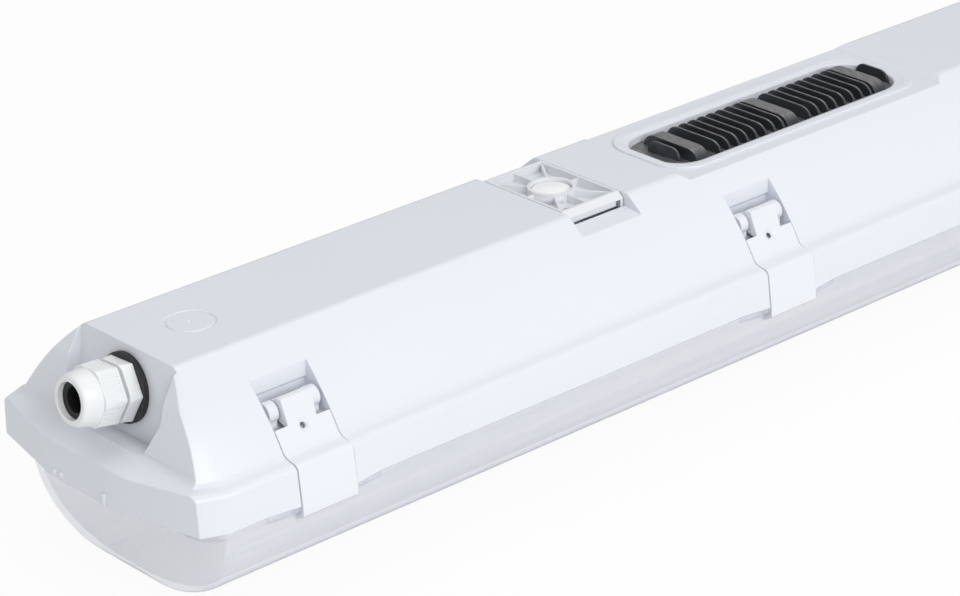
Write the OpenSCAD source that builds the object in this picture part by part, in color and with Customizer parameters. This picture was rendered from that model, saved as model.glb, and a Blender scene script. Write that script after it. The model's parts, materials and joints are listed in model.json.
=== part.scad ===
// Weatherproof linear LED fixture, ceiling side up.
// X runs along the fixture with the cable gland at the -X end, Z is up, and the top face lies at Z = 0.

/* [Housing] */
// Length over the bulged ends of the skirt
body_l = 1200; // [1160:10:1500]
// Width of the flat top between the two ridges
ridge_w = 59; // [56:0.5:62]
// Width over the skirt band at its bottom edge
skirt_w = 139.8; // [130:0.2:160]
// Height of the housing
housing_h = 56; // [50:0.5:64]
// Radius of the convex sides
side_r = 116; // [100:1:150]
// Height of the skirt band
band_h = 17; // [15:0.2:19]
// Setback of the skirt band's top from its bottom edge
band_top_in = 0.7; // [0.4:0.1:1]
// Reach of the shelf from the foot of the sides to the band
shelf_reach = 6.6; // [5.6:0.1:7.4]
// Fall of the shelf from the foot of the sides to the band
shelf_fall = 1.6; // [1.2:0.1:2]
// Wall thickness
wall = 2.6; // [2:0.1:3]

/* [Ends] */
// Setback of the top face's end edge
end_top_in = 27.2; // [25:0.2:30]
// Setback of the end face's foot
end_foot_in = 13.6; // [13:0.2:15]
// Further setback of the gland's wall at the top face
wall_more_in = 0.5; // [0.2:0.1:1]
// Tilt of the gland's wall
wall_tilt = 6.6; // [3:0.1:8]
// Half width of the gland's recess
recess_half = 31.5; // [28:0.5:33]
// Angle of the corner facets in plan
facet_angle = 22.8; // [18:0.2:26]
// Setback of the corner facets' pivot
facet_in = 34.3; // [33:0.1:36]

/* [Latches] */
// Latches on each side
latch_count = 5; // [3:1:5]
// Distance of the outer latches from the body's ends
latch_end_in = 69; // [62:0.5:90]
// Width of a latch
latch_w = 28.2; // [24:0.2:32]
// Material thickness of a latch
latch_t = 2.3; // [2:0.1:2.6]
// Width of the tab between the two ears
tab_w = 14.7; // [12:0.1:16]
// Distance of the latch's face from the band
latch_proud = 2.7; // [2.5:0.1:3]
// Height of the hinge pin above the foot of the sides
pin_rise = 13.4; // [13:0.1:14]
// Depth of the hinge pin inside the convex side
pin_in = 5.7; // [5.4:0.1:6]
// Diameter of the hinge pin
pin_d = 3; // [2.5:0.1:3.4]
// Radial play around the pin
pin_play = 0.05; // [0.02:0.01:0.09]

/* [Ceiling brackets] */
// Distance of the brackets from the body's ends
bracket_end_in = 257; // [240:1:280]
// Bracket size along the fixture
bracket_l = 33.6; // [32:0.2:36]
// Bracket size across the fixture
bracket_w = 49.6; // [48:0.2:52]
// Bracket height
bracket_h = 5.8; // [5:0.1:6]
// Outer diameter of the bracket's ring
ring_d = 21.4; // [20:0.1:23]
// Bore of the bracket's ring
ring_bore = 18.2; // [17:0.1:19]
// Diameter of the ceiling screw holes
screw_hole_d = 4.5; // [4:0.1:5]

/* [Heat sink] */
// Width of the slot in the housing
slot_w = 45; // [42:0.5:50]
// Distance of the heat sink from the bracket beside it
sink_from_bracket = 134; // [130:0.5:140]
// Pitch of the thin fins
fin_pitch = 5.85; // [5.6:0.05:6]
// Thickness of a thin fin
fin_t = 1.8; // [1.4:0.1:2.2]
// Thin fins in a group
fin_count = 8; // [4:1:8]
// Width of the wide bars
bar_t = 7.4; // [6:0.2:7.8]
// Distance of the first thin fin from the middle of a bar
fin_first = 11.6; // [10:0.2:13]

/* [Cable gland] */
// Height of the gland's axis above the foot of the sides
gland_rise = 19.4; // [19:0.1:21]
// Thread diameter of the gland
thread_d = 20; // [16:1:20]
// Width across flats of the gland's body
hex_af = 24.4; // [24:0.2:26]
// Width across flats of the dome nut
nut_af = 24; // [23:0.2:25]
// Diameter of the sealing washer
washer_d = 29.6; // [28:0.2:31]
// Distance of the nut's mouth from the wall
gland_l = 28.3; // [26:0.1:32]
// Diameter of the nut's mouth
mouth_d = 15.9; // [14:0.1:17]
// Bore of the seal insert
seal_bore_d = 11; // [8:0.5:12]

/* [Diffuser] */
// Depth of the trough under the skirt
trough_h = 41; // [36:0.5:48]
// Setback of the trough's end wall
trough_in = 20; // [18:0.2:22]
// Wall of the trough
trough_wall = 2.2; // [1.8:0.1:2.4]

/* [Gear] */
// Room between the gear tray and the housing's ends
tray_end_gap = 3.8; // [3:0.2:20]
// Room between the gear tray and the housing's groove wall
tray_side_gap = 5; // [4.5:0.5:10]
// Sheet thickness of the tray
sheet = 0.8; // [0.6:0.1:1]
// LED boards in a row
board_count = 4; // [2:1:4]
// LED packages on a board
led_count = 9; // [4:1:9]

/* [Hidden] */
$fn = 48;

// Overrun of every cut, and the steps of a drawn arc
cut = 5;
arc_steps = 6;
side_steps = 10;

// Housing details
end_mid_in_share = 0.537;
end_mid_drop_share = 0.3476;
end_low_in_share = 0.75;
end_low_drop_share = 0.6684;
end_foot_rise = 0.6;
end_shelf_in = 1.2;
end_flat_half = 22;
end_slope_share = 0.208;
ridge_round = 6;
foot_round = 4.5;
shelf_round = 3;
shoulder_round = 12;
end_block_l = 60;
recess_low_half = 24;
recess_wall_fall = 4;
recess_foot_fall = 0.1;
recess_round = 4;
knock_d = 20.5;
knock_in = 58.6;
knock_groove = 0.8;
knock_depth = 0.5;
dimple_d = 1.6;
end_rib_w = 2.2;
end_rib_h = 5;
end_rib_proud = 0.9;
end_bump_d = 2.6;
end_bump_y = 14;
end_bump_pitch = 4.5;
end_rib_y = -15;

// Lowered plateau round the heat sink
plateau_drop = 3;
plateau_margin = 5.25;
plateau_slope_l = 4.25;
plateau_shift = 0.2;
plateau_wall = 4.6;
rim_w = 4;
rim_h = 0.9;
slot_r = 12;

// Channel in the skirt, gasket and flange of the diffuser
skirt_wall = 3.5;
groove_w = 6.4;
groove_h = 13;
groove_end_in = 12;
groove_r = 12;
lip_wall = 2.4;
lip_rise = 2;
gasket_t = 4;
gasket_gap = 0.3;
upstand_t = 2.2;
flange_gap = 0.6;
flange_t = 3.6;
flange_in = 0.6;
flange_end_in = 9.6;
flange_r = 14;
flange_bevel = 1.6;
flange_bevel_w = 2.3;
trough_power = 2.55;
trough_sink = 1.4;
trough_steps = 28;
trough_corner_r = 4;
trough_end_r = 4;

// Latch details
latch_gap = 0.5;
latch_reach = 5.6;
hook_gap = 0.9;
latch_hook_t = 2.4;
tab_rise = 6.2;
tab_out = 4.9;
tab_spread = 0.5;
tab_round = 0.8;
shoulder_fall = 4;
barrel_r = 4.2;
ear_r = 4.5;
ear_w = 4.8;
ear_gap = 0.9;
hinge_back = 5.9;
hinge_dip = 1.3;
hinge_dip_rise = 5.9;
hinge_front = 6.2;
hinge_floor_fall = 4.8;
hinge_front_fall = 7.6;
latch_hole_d = 2.6;
latch_sink_d = 6;
latch_hole_fall = 5.5;
latch_side_play = 0.3;

// Bracket details
bracket_play = 0.4;
bracket_rim = 1.5;
bracket_rib = 1.2;
bracket_floor = 1.5;
bracket_rib_drop = 0.9;
recess_depth = 12;
lip_lap = 0.8;
lip_reach = 2.8;
lip_fall = 2.5;
lip_edge = 0.6;
lip_wall_in = 0.7;
lip_leg_w = 1.6;
lip_slot_w = 2;
lip_leg_drop = 7;
cutout_reach = 10.8;
cutout_drop_in = 6;
cutout_drop_out = 7.4;
plug_play = 0.3;
plug_edge_drop = 1.6;
plug_top_drop = 0.3;
bracket_screw_x = 5.7;
bracket_screw_in = 7.8;

// Heat sink details
sink_flange = 9;
sink_flange_t = 4;
sink_seal_t = 1.2;
fin_side_gap = 2.9;
slot_end_gap = 3.4;
fin_top_drop = 0.5;
fin_round = 7;
fin_root_play = 0.8;
bar_shift = 1;
end_fin_in = 7.5;
end_fin_out = 12.8;
end_fin_short = 7.6;
end_fin_round = 5;
sink_screw_d = 3.6;
sink_screw_in = 4.5;
screw_head_d = 7.5;
screw_head_h = 2.2;
sink_screw_l = 7;
sink_hole_d = 4.1;
screw_bite_d = 1;

// Gear details
tray_rise = 3.4;
tray_edge_h = 8;
tray_screw_in = 90;
boss_d = 10;
boss_screw_d = 3.5;
tray_screw_l = 14;
board_end_in = 10;
board_gap = 4;
board_w = 20;
board_t = 1.6;
board_y = 28;
led_w = 5;
led_l = 3.2;
led_h = 0.7;
driver_l = 152;
driver_w = 40;
driver_h = 24;
driver_bevel = 2;
driver_tab_l = 9;
driver_tab_t = 1.5;
pad_t = 1;
pad_w = 36;
block_l = 46;
block_w = 34;
block_h = 23;
block_end_in = 46;
block_poles = 5;
block_hole_d = 3.4;
wire_d = 2.4;
wire_depth = 19.2;
wire_y = 8;
wire_bend = 5;
lead_y = 14;
lead_run = 15;
connector_l = 9;
connector_w = 11;
connector_h = 3.4;
connector_y = 17.5;
tag_l = 16;
tag_w = 6.4;
tag_t = 0.8;

// Gland details
washer_t = 2.4;
hex_t = 5.8;
nut_gap = 1.6;
dome_h = 8.5;
tip_wall = 1.55;
hex_turn = 3;
neck_wall = 0.6;
thread_wall = 2.7;
seal_lip = 0.75;
thread_in_l = 9;
locknut_t = 5;
locknut_wall = 3;
gland_hole_play = 0.25;
gland_face = 3;
nut_play = 0.08;
rib_count = 10;
rib_depth = 0.35;
rib_w = 0.7;

// Derived places
half_l = body_l/2;
shelf_w = skirt_w - 2*band_top_in;
foot_w = shelf_w - 2*shelf_reach;
shelf_drop = housing_h - band_h;
foot_drop = shelf_drop - shelf_fall;
arc_c = arc_centre([ridge_w/2, 0], [foot_w/2, -foot_drop], side_r);
end_mid_in = end_top_in - end_mid_in_share*(end_top_in - end_foot_in);
end_low_in = end_top_in - end_low_in_share*(end_top_in - end_foot_in);
wall_in = end_top_in + wall_more_in;
gland_drop = foot_drop - gland_rise;
recess_wall_drop = gland_drop + recess_wall_fall;
recess_floor_drop = foot_drop + recess_foot_fall;
cavity_half_l = half_l - end_top_in - 3*gland_face;
gland_x = -half_l + wall_in - gland_drop*tan(wall_tilt);
latch_out = skirt_w/2 + latch_proud;
latch_first = latch_end_in - half_l;
latch_pitch = -2*latch_first/(latch_count - 1);
pin_drop = foot_drop - pin_rise;
pin_y = side_y(pin_drop) - pin_in;
tab_top_drop = pin_drop - tab_rise;
shoulder_drop = pin_drop + shoulder_fall;
latch_hole_drop = pin_drop + latch_hole_fall;
latch_tip_y = latch_out - latch_reach;
hinge_back_y = pin_y - hinge_back;
hinge_dip_y = hinge_back_y - hinge_dip;
hinge_dip_drop = pin_drop - hinge_dip_rise;
hinge_floor_drop = pin_drop + hinge_floor_fall;
hinge_floor_out_y = pin_y + hinge_front;
hinge_floor_out_drop = pin_drop + hinge_front_fall;
bracket_pitch = body_l - 2*bracket_end_in;
lip_in_y = bracket_w/2 - lip_lap;
lip_out_y = bracket_w/2 + lip_reach;
recess_half_y = lip_out_y + bracket_play;
cutout_y = recess_half_y + cutout_reach;
bracket_screw_y = bracket_w/2 - bracket_screw_in;
bar_pitch = fin_first + fin_count*fin_pitch;
slot_l = 2*(bar_pitch + bar_shift + end_fin_out + fin_t/2 + slot_end_gap);
sink_x = sink_from_bracket - bracket_pitch/2;
fin_half = slot_w/2 - fin_side_gap;
end_fin_half = fin_half - end_fin_short;
plateau_in_l = slot_l + 2*plateau_margin;
plateau_out_l = plateau_in_l + 2*plateau_slope_l;
pocket_half = latch_w/2 + latch_side_play;
floor_off = latch_t + latch_gap;
seal_x_half = slot_l/2 + sink_flange;
seal_y_half = slot_w/2 + sink_flange;
sink_roof = plateau_drop + plateau_wall;
sink_base_top = sink_roof + sink_seal_t;
sink_base_low = sink_base_top + sink_flange_t;
driver_top = sink_base_low + pad_t;
groove_out_half = skirt_w/2 - skirt_wall;
groove_in_half = groove_out_half - groove_w;
groove_roof_drop = housing_h - groove_h;
tray_drop = housing_h - tray_rise;
tray_l = 2*(cavity_half_l - tray_end_gap);
tray_w = 2*(groove_in_half - tray_side_gap);
tray_screw_pitch = tray_l/2 - tray_screw_in;
board_l = (tray_l - 2*board_end_in - (board_count - 1)*board_gap)/board_count;
board_low = tray_drop + sheet + board_t;
block_x = block_end_in - tray_l/2;
wire_drop = driver_top + wire_depth;
pad_l = driver_l - 2*driver_tab_l;
upstand_half = (groove_out_half + groove_in_half)/2;
groove_l = body_l - 2*groove_end_in;
groove_in_l = groove_l - 2*(groove_out_half - groove_in_half);
upstand_l = (groove_l + groove_in_l)/2;
gasket_low = groove_roof_drop + gasket_t;
lip_drop = housing_h - lip_rise;
flange_top_drop = housing_h + flange_gap;
flange_low_drop = flange_top_drop + flange_t;
flange_w = skirt_w - 2*flange_in;
trough_top_drop = flange_top_drop + trough_sink;
trough_w = flange_w - 2*flange_bevel_w;
latch_tip_drop = flange_low_drop + hook_gap;
latch_tip_r = norm([latch_tip_y - pin_y, latch_tip_drop - pin_drop]);
sink_shank_d = sink_screw_d - screw_bite_d;
tray_shank_d = boss_screw_d - screw_bite_d/2;
nut_start = washer_t + hex_t + nut_gap;
nut_hex_end = gland_l - dome_h;
seal_d = mouth_d + 2*seal_lip;
neck_d = seal_d + 2*neck_wall;
thread_inner_d = thread_d - 2*thread_wall;
locknut_af = thread_d + 2*locknut_wall;

// Centre of the circle through two points that bulges outward
function arc_centre(p, q, r) =
    let (m = (p + q)/2, d = norm(q - p), u = (q - p)/d)
    m + [u[1], -u[0]]*sqrt(r*r - d*d/4);

// Distance of the convex side from the middle plane, at a drop under the top, for a surface sunk by inset
function side_y(drop, inset = 0) = arc_c[0] + sqrt(pow(side_r - inset, 2) - pow(-drop - arc_c[1], 2));
function side_pt(drop, inset = 0) = [side_y(drop, inset), -drop];
function side_run(drop_a, drop_b, inset = 0, n = side_steps) =
    [for (i = [0:n]) side_pt(drop_a + (drop_b - drop_a)*i/n, inset)];

// Round arc that replaces the corner b of the path a, b, c
function corner_arc(a, b, c, r, n = arc_steps) =
    let (u = (a - b)/norm(a - b), v = (c - b)/norm(c - b),
         half = acos(u*v)/2, w = (u + v)/norm(u + v), o = b + w*r/sin(half),
         s = b + u*r/tan(half) - o, e = b + v*r/tan(half) - o,
         a0 = atan2(s[1], s[0]), turn = atan2(e[1], e[0]) - a0,
         sweep = turn > 180 ? turn - 360 : turn < -180 ? turn + 360 : turn)
    [for (i = [0:n]) o + r*[cos(a0 + sweep*i/n), sin(a0 + sweep*i/n)]];

// A closed path whose corners are rounded by the radii in r
function rounded(p, r) = let (n = len(p))
    [for (i = [0:n - 1]) let (before = p[(i + n - 1) % n], after = p[(i + 1) % n])
        each (r[i] > 0 ? corner_arc(before, p[i], after, r[i]) : [p[i]])];

// A path without the points that don't go down
function falling(p) = [for (i = [0:len(p) - 1]) if (i == 0 || p[i][1] < p[i - 1][1] - 0.001*wall) p[i]];

// A half outline for y >= 0, listed from the top down, made whole about the middle plane
function both_sides(p) = concat(p, [for (i = [len(p) - 1:-1:0]) [-p[i][0], p[i][1]]]);

// Extrusions of a (y, z) outline along X, and of an (x, z) outline along Y, centred
module along_x(l) rotate([90, 0, 90]) linear_extrude(l, center = true) children();
module along_y(w) rotate([90, 0, 0]) linear_extrude(w, center = true) children();

// Rounded rectangle and its ring
module round_rect(l, w, r) {
    square([l - 2*r, w], center = true);
    square([l, w - 2*r], center = true);
    for (sx = [-1, 1])
        for (sy = [-1, 1])
            translate([sx*(l/2 - r), sy*(w/2 - r)]) circle(r);
}
module plate(l, w, r, z_low, z_top)
    translate([0, 0, z_low]) linear_extrude(z_top - z_low) round_rect(l, w, r);

// Frames of the repeated parts
module at_latch(i, side)
    translate([latch_first + i*latch_pitch, 0, 0]) mirror([0, side > 0 ? 0 : 1, 0]) children();
module at_latches() for (i = [0:latch_count - 1]) for (side = [-1, 1]) at_latch(i, side) children();
module at_bracket(i) translate([(i - 1.5)*bracket_pitch, 0, 0]) mirror([i > 1.5 ? 1 : 0, 0, 0]) children();
module at_gland() translate([gland_x, 0, -gland_drop]) rotate([0, wall_tilt - 90, 0]) children();
module at_sink() translate([sink_x, 0, 0]) children();
module at_sink_screws(z) at_sink() four(seal_x_half - sink_screw_in, seal_y_half - sink_screw_in)
    translate([0, 0, z]) children();
module at_driver_screws(z) at_sink()
    for (s = [-1, 1]) translate([s*(driver_l - driver_tab_l)/2, 0, z]) children();
module at_tray_screws(z) for (i = [-1:1]) translate([i*tray_screw_pitch, 0, z]) children();
module four(x, y) for (sx = [-1, 1]) for (sy = [-1, 1]) translate([sx*x, sy*y, 0]) children();

// Outline of the housing across its length
function ridge_arc() =
    let (q = side_pt(0), n = (q - arc_c)/side_r)
    corner_arc([0, 0], q, q + [n[1], -n[0]], ridge_round);
function housing_half() = concat(
    ridge_arc(),
    side_run(ridge_round/4, foot_drop - foot_round/2),
    rounded([side_pt(foot_drop - foot_round), [foot_w/2, -foot_drop],
             [(foot_w + shelf_w)/4, -(foot_drop + shelf_drop)/2], [shelf_w/2, -shelf_drop],
             [skirt_w/2, -housing_h]],
            [0, foot_round, 0, shelf_round, 0]));
module housing_section() polygon(both_sides(falling(housing_half())));

module end_profile() {
    x = half_l;
    p = [[x - end_top_in, 0], [x - end_mid_in, -end_mid_drop_share*foot_drop],
         [x - end_low_in, -end_low_drop_share*foot_drop], [x - end_foot_in, end_foot_rise - foot_drop],
         [x - end_shelf_in, -shelf_drop - end_shelf_in], [x, -housing_h]];
    r = [0, shoulder_round, shoulder_round, foot_round, shelf_round/2, 0];
    half = rounded(concat([[0, 0]], p, [[0, -housing_h]]), concat([0], r, [0]));
    polygon(concat(half, [for (i = [len(half) - 1:-1:0]) [-half[i][0], half[i][1]]]));
}

module plan_outline() {
    w = skirt_w/2 + cut;
    e = half_l - end_slope_share*(w - end_flat_half);
    q = [[half_l, end_flat_half], [e, w], [-e, w], [-half_l, end_flat_half]];
    polygon(concat(q, [for (i = [3:-1:0]) [q[i][0], -q[i][1]]]));
}

// What the corner facets take off at the near corner of the -X end
module corner_facet() translate([facet_in - half_l, 0, 0]) rotate([0, 0, -facet_angle]) difference() {
    translate([-end_block_l, -skirt_w, -housing_h - cut])
        cube([2*end_block_l, 0.9*skirt_w, housing_h + 2*cut]);
    along_x(3*end_block_l) housing_section();
}

module housing_block() difference() {
    intersection() {
        along_x(body_l + cut) housing_section();
        along_y(skirt_w + cut) end_profile();
        translate([0, 0, -housing_h - cut]) linear_extrude(housing_h + 2*cut) plan_outline();
    }
    for (mx = [0, 1]) for (my = [0, 1]) mirror([mx, 0, 0]) mirror([0, my, 0]) corner_facet();
}

// Room in front of the gland's wall, in the gland's frame: x goes up the wall
module gland_recess() {
    up = gland_drop + cut;
    mid = gland_drop - recess_wall_drop;
    low = gland_drop - recess_floor_drop;
    p = [[up, -recess_half], [mid, -recess_half], [low, -recess_low_half],
         [low, recess_low_half], [mid, recess_half], [up, recess_half]];
    r = recess_round;
    linear_extrude(end_block_l) polygon(rounded(p, [0, r, r, r, r, 0]));
}

module cavity_outline(top) polygon(both_sides(concat(
    [[side_y(top, wall), -top]],
    side_run(top + wall, groove_roof_drop - wall - lip_wall, wall, side_steps/2),
    [[groove_in_half - lip_wall, -groove_roof_drop], [groove_in_half - lip_wall, -housing_h - cut]])));

module cavity() difference() {
    intersection() {
        along_x(body_l) cavity_outline(wall);
        union() {
            top = half_l - end_top_in - gland_face;
            low = top + (housing_h + cut)*tan(wall_tilt);
            along_y(2*recess_half)
                polygon([[-top, 0], [top, 0], [low, -housing_h - cut], [-low, -housing_h - cut]]);
            along_y(skirt_w)
                square([2*cavity_half_l, 2*(housing_h + cut)], center = true);
        }
    }
    translate([sink_x, 0, -sink_roof/2]) cube([plateau_out_l + 2*wall, skirt_w, sink_roof], center = true);
    for (i = [1, 2]) at_bracket(i) bracket_pad();
    at_latches() latch_pad();
    at_tray_screws(-tray_drop) cylinder(h = tray_drop, d = boss_d);
}

module bracket_pad() {
    l = bracket_l + 2*bracket_play + 2*wall;
    w = 2*recess_half_y + 2*wall;
    translate([-l/2, -w/2, -recess_depth - wall]) cube([l, w, recess_depth + wall]);
    translate([-l/2, -skirt_w/2, -cutout_drop_out - wall]) cube([l, skirt_w, cutout_drop_out + wall]);
}

// Solid behind a latch pocket, from the hinge's back wall outward
module latch_pad() {
    translate([-pocket_half - wall, hinge_dip_y - wall, -groove_roof_drop + wall])
        cube([2*(pocket_half + wall), skirt_w/2, groove_roof_drop - wall]);
}

// Room for a latch: the hinge cavity above, and under it a floor that follows the latch's back
function latch_floor() = concat(
    [[hinge_floor_out_y, -hinge_floor_out_drop]],
    side_run(hinge_floor_out_drop + latch_gap, foot_drop - foot_round/2, floor_off, arc_steps),
    rounded([side_pt(foot_drop - foot_round, floor_off),
             [foot_w/2 - floor_off*0.6, -foot_drop - floor_off*0.9],
             [shelf_w/2 + latch_proud/2 - floor_off, -shelf_drop - 0.9*floor_off],
             [latch_out - floor_off, -housing_h],
             [latch_out - floor_off + latch_gap, -housing_h - cut]],
            [0, foot_round, shelf_round, 0, 0]));
module latch_room() {
    along_x(2*pocket_half)
        polygon(concat([[hinge_back_y, cut], [hinge_back_y, -hinge_dip_drop],
                        [hinge_dip_y, -hinge_dip_drop - hinge_dip], [hinge_dip_y, -hinge_floor_drop]],
                       falling(latch_floor()), [[skirt_w, -housing_h - cut], [skirt_w, cut]]));
}

module ear() difference() {
    foot = hinge_floor_out_drop - pin_drop;
    union() {
        rotate([0, 90, 0]) cylinder(h = ear_w, r = ear_r);
        translate([0, -ear_r, -foot]) cube([ear_w, 1.7*ear_r, foot]);
        translate([0, hinge_dip_y - pin_y - wall/2, -foot]) cube([ear_w, pin_y - hinge_dip_y, foot]);
    }
    translate([-cut, 0, 0]) rotate([0, 90, 0]) cylinder(h = ear_w + 2*cut, d = pin_d + 2*pin_play);
}
module ears() for (m = [0, 1]) mirror([m, 0, 0]) translate([tab_w/2 + ear_gap, pin_y, -pin_drop]) ear();

module bracket_room() {
    l = bracket_l + 2*bracket_play;
    translate([-l/2, -recess_half_y, -recess_depth]) cube([l, 2*recess_half_y, recess_depth + cut]);
    along_x(l) polygon(both_sides([
        [lip_in_y, cut], [cutout_y + cut, cut], [cutout_y + cut, -cutout_drop_out],
        [cutout_y, -cutout_drop_out], [recess_half_y, -cutout_drop_in], [lip_in_y, -cutout_drop_in]]));
}

module housing_groove() difference() {
    plate(groove_l, 2*groove_out_half, groove_r, -housing_h - cut, -groove_roof_drop);
    plate(groove_in_l, 2*groove_in_half, groove_r/2, -housing_h - 2*cut, 0);
}

module housing() color([0.93, 0.94, 0.96]) {
    difference() {
        union() {
            difference() {
                housing_block();
                cavity();
                housing_groove();
                plate(groove_in_l - lip_wall, 2*groove_in_half + lip_wall, groove_r/2,
                      -housing_h - cut, -lip_drop);
                for (m = [0, 1]) mirror([m, 0, 0]) at_gland() gland_recess();
                at_latches() latch_room();
                for (i = [1, 2]) at_bracket(i) bracket_room();
                at_sink() plateau_cut();
            }
            at_latches() ears();
            at_sink() slot_rim();
            end_details();
        }
        at_sink() sink_slot();
        at_sink_screws(-sink_roof - cut) cylinder(h = cut + plateau_wall - wall/2, d = sink_shank_d);
        at_gland() translate([0, 0, -end_block_l/2])
            cylinder(h = end_block_l, d = thread_d + 2*gland_hole_play);
        at_tray_screws(-tray_drop - cut) cylinder(h = tray_screw_l + cut, d = tray_shank_d);
        knockouts();
    }
}

module plateau_cut() translate([plateau_shift, 0, 0]) along_y(2*skirt_w)
    polygon([[-plateau_in_l/2, -plateau_drop], [plateau_in_l/2, -plateau_drop], [plateau_out_l/2, 0],
             [plateau_out_l/2, cut], [-plateau_out_l/2, cut], [-plateau_out_l/2, 0]]);
module slot_rim() translate([0, 0, -plateau_drop - rim_h]) difference() {
    plate(slot_l + 2*rim_w, slot_w + 2*rim_w, slot_r + rim_w, 0, 2*rim_h);
    plate(slot_l, slot_w, slot_r, -rim_h, 3*rim_h);
}
module sink_slot() plate(slot_l, slot_w, slot_r, -sink_roof - cut, cut);

module knockouts() for (m = [-1, 1]) translate([m*(half_l - knock_in), 0, 0]) {
    difference() {
        translate([0, 0, -knock_depth]) cylinder(h = cut, d = knock_d + knock_groove);
        translate([0, 0, -cut]) cylinder(h = 3*cut, d = knock_d - knock_groove);
    }
    translate([0, 0, -knock_depth]) cylinder(h = cut, d = dimple_d);
}

module end_details() for (m = [0, 180]) rotate([0, 0, m]) translate([-half_l, 0, 0]) {
    translate([-end_rib_proud, end_rib_y - end_rib_w/2, -housing_h]) cube([wall, end_rib_w, end_rib_h]);
    for (i = [0, 1]) translate([end_rib_proud/2, end_bump_y + i*end_bump_pitch, -housing_h + end_rib_h/2])
        cylinder(h = end_bump_d, d = end_bump_d, center = true);
}

module housing_gasket() color([0.55, 0.56, 0.58])
    translate([0, 0, -gasket_low]) linear_extrude(gasket_t) difference() {
        g = gasket_gap;
        round_rect(groove_l - 2*g, 2*groove_out_half - 2*g, groove_r - g);
        round_rect(groove_in_l + 2*g, 2*groove_in_half + 2*g, groove_r/2 + g);
    }

// The trough: a superellipse across, rounded in plan and along
function trough_pts(w, h, n = trough_steps) =
    [for (i = [0:n]) let (t = 180*i/n, c = cos(t), s = sin(t))
        [w/2*sign(c)*pow(abs(c), 2/trough_power), -h*pow(s, 2/trough_power)]];
module trough(inset) {
    w = trough_w - 2*inset;
    h = trough_h - inset;
    l = body_l - 2*trough_in - 2*inset;
    r = trough_corner_r - inset;
    intersection() {
        translate([0, 0, -trough_top_drop]) along_x(body_l) polygon(trough_pts(w, h));
        plate(l, w + cut, r, -trough_top_drop - h, 0);
        translate([0, 0, -trough_top_drop - h]) along_y(body_l) union() {
            translate([0, trough_end_r/2 + h]) square([l, trough_end_r + 2*h], center = true);
            translate([0, h/2]) square([l - 2*trough_end_r, h], center = true);
            for (s = [-1, 1]) translate([s*(l/2 - trough_end_r), trough_end_r]) circle(trough_end_r);
        }
    }
}

module flange() {
    x = flange_end_in;
    intersection() {
        plate(body_l - 2*x, flange_w, flange_r, -flange_low_drop, -flange_top_drop);
        along_x(body_l) polygon(both_sides([
            [flange_w/2, -flange_top_drop], [flange_w/2, -flange_low_drop + flange_bevel],
            [flange_w/2 - flange_bevel_w, -flange_low_drop]]));
    }
}
module diffuser() color([0.9, 0.93, 0.96, 0.45]) difference() {
    union() {
        trough(0);
        flange();
        difference() {
            t = upstand_t;
            plate(upstand_l + t, 2*upstand_half + t, groove_r - t, -flange_top_drop, -gasket_low);
            plate(upstand_l - t, 2*upstand_half - t, groove_r - 2*t, -housing_h, 0);
        }
    }
    trough(trough_wall);
    plate(body_l - 2*trough_in - 2*trough_wall, 2*upstand_half - upstand_t, trough_corner_r - trough_wall,
          -trough_top_drop - trough_wall/100, -flange_top_drop + cut);
}

// Latch seen along X: the back and the face follow the housing's side, shelf and band
module latch_outline() {
    in_y = latch_out - latch_t;
    shelf_out = (shelf_w + latch_proud)/2;
    hook_out_z = -pin_drop - sqrt(pow(latch_tip_r, 2) - pow(in_y - 0.5*latch_t - pin_y, 2));
    face = falling(concat(side_run(shoulder_drop, foot_drop - foot_round/2, 0, arc_steps),
        rounded([side_pt(foot_drop - foot_round), [foot_w/2, -foot_drop],
                 [shelf_out, -shelf_drop + latch_gap/2], [latch_out, -housing_h]],
                [0, foot_round, shelf_round, 0])));
    back = falling(concat(
        side_run(shoulder_drop + 0.6*latch_t, foot_drop - foot_round/2, latch_t, arc_steps),
        rounded([side_pt(foot_drop - foot_round, latch_t),
                 [foot_w/2 - 0.6*latch_t, -foot_drop - 0.9*latch_t],
                 [shelf_out - latch_t, -shelf_drop - 0.9*latch_t], [in_y, -housing_h]],
                [0, foot_round, shelf_round, 0])));
    low = [[latch_out, -flange_low_drop],
           [latch_out - 0.8*latch_t, -flange_low_drop - 0.6*latch_hook_t],
           [latch_tip_y, -latch_tip_drop - latch_hook_t], [latch_tip_y, -latch_tip_drop],
           [in_y - 0.5*latch_t, hook_out_z], [in_y, hook_out_z + latch_gap]];
    polygon(concat(face, low, [for (i = [len(back) - 1:-1:0]) back[i]]));
}

module tab_outline() {
    top_y = pin_y + tab_out;
    polygon(rounded(
        [[top_y, -tab_top_drop], side_pt(shoulder_drop), side_pt(shoulder_drop + latch_t, latch_t/2),
         [pin_y + latch_t/2, -pin_drop - 0.9*barrel_r], [pin_y - 0.3*barrel_r, -pin_drop + 0.8*barrel_r],
         [top_y - 1.2*latch_t, -tab_top_drop]],
        [tab_round, 0, 0, 0, 0, tab_round]));
}

// Tab between the ears, wider towards its top
module tab() intersection() {
    along_x(tab_w + 2*tab_spread) tab_outline();
    along_y(4*latch_out) polygon([
        [-tab_w/2, -foot_drop], [tab_w/2, -foot_drop], [tab_w/2, -shoulder_drop],
        [tab_w/2 + tab_spread, -tab_top_drop + latch_gap],
        [-tab_w/2 - tab_spread, -tab_top_drop + latch_gap], [-tab_w/2, -shoulder_drop]]);
}

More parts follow.
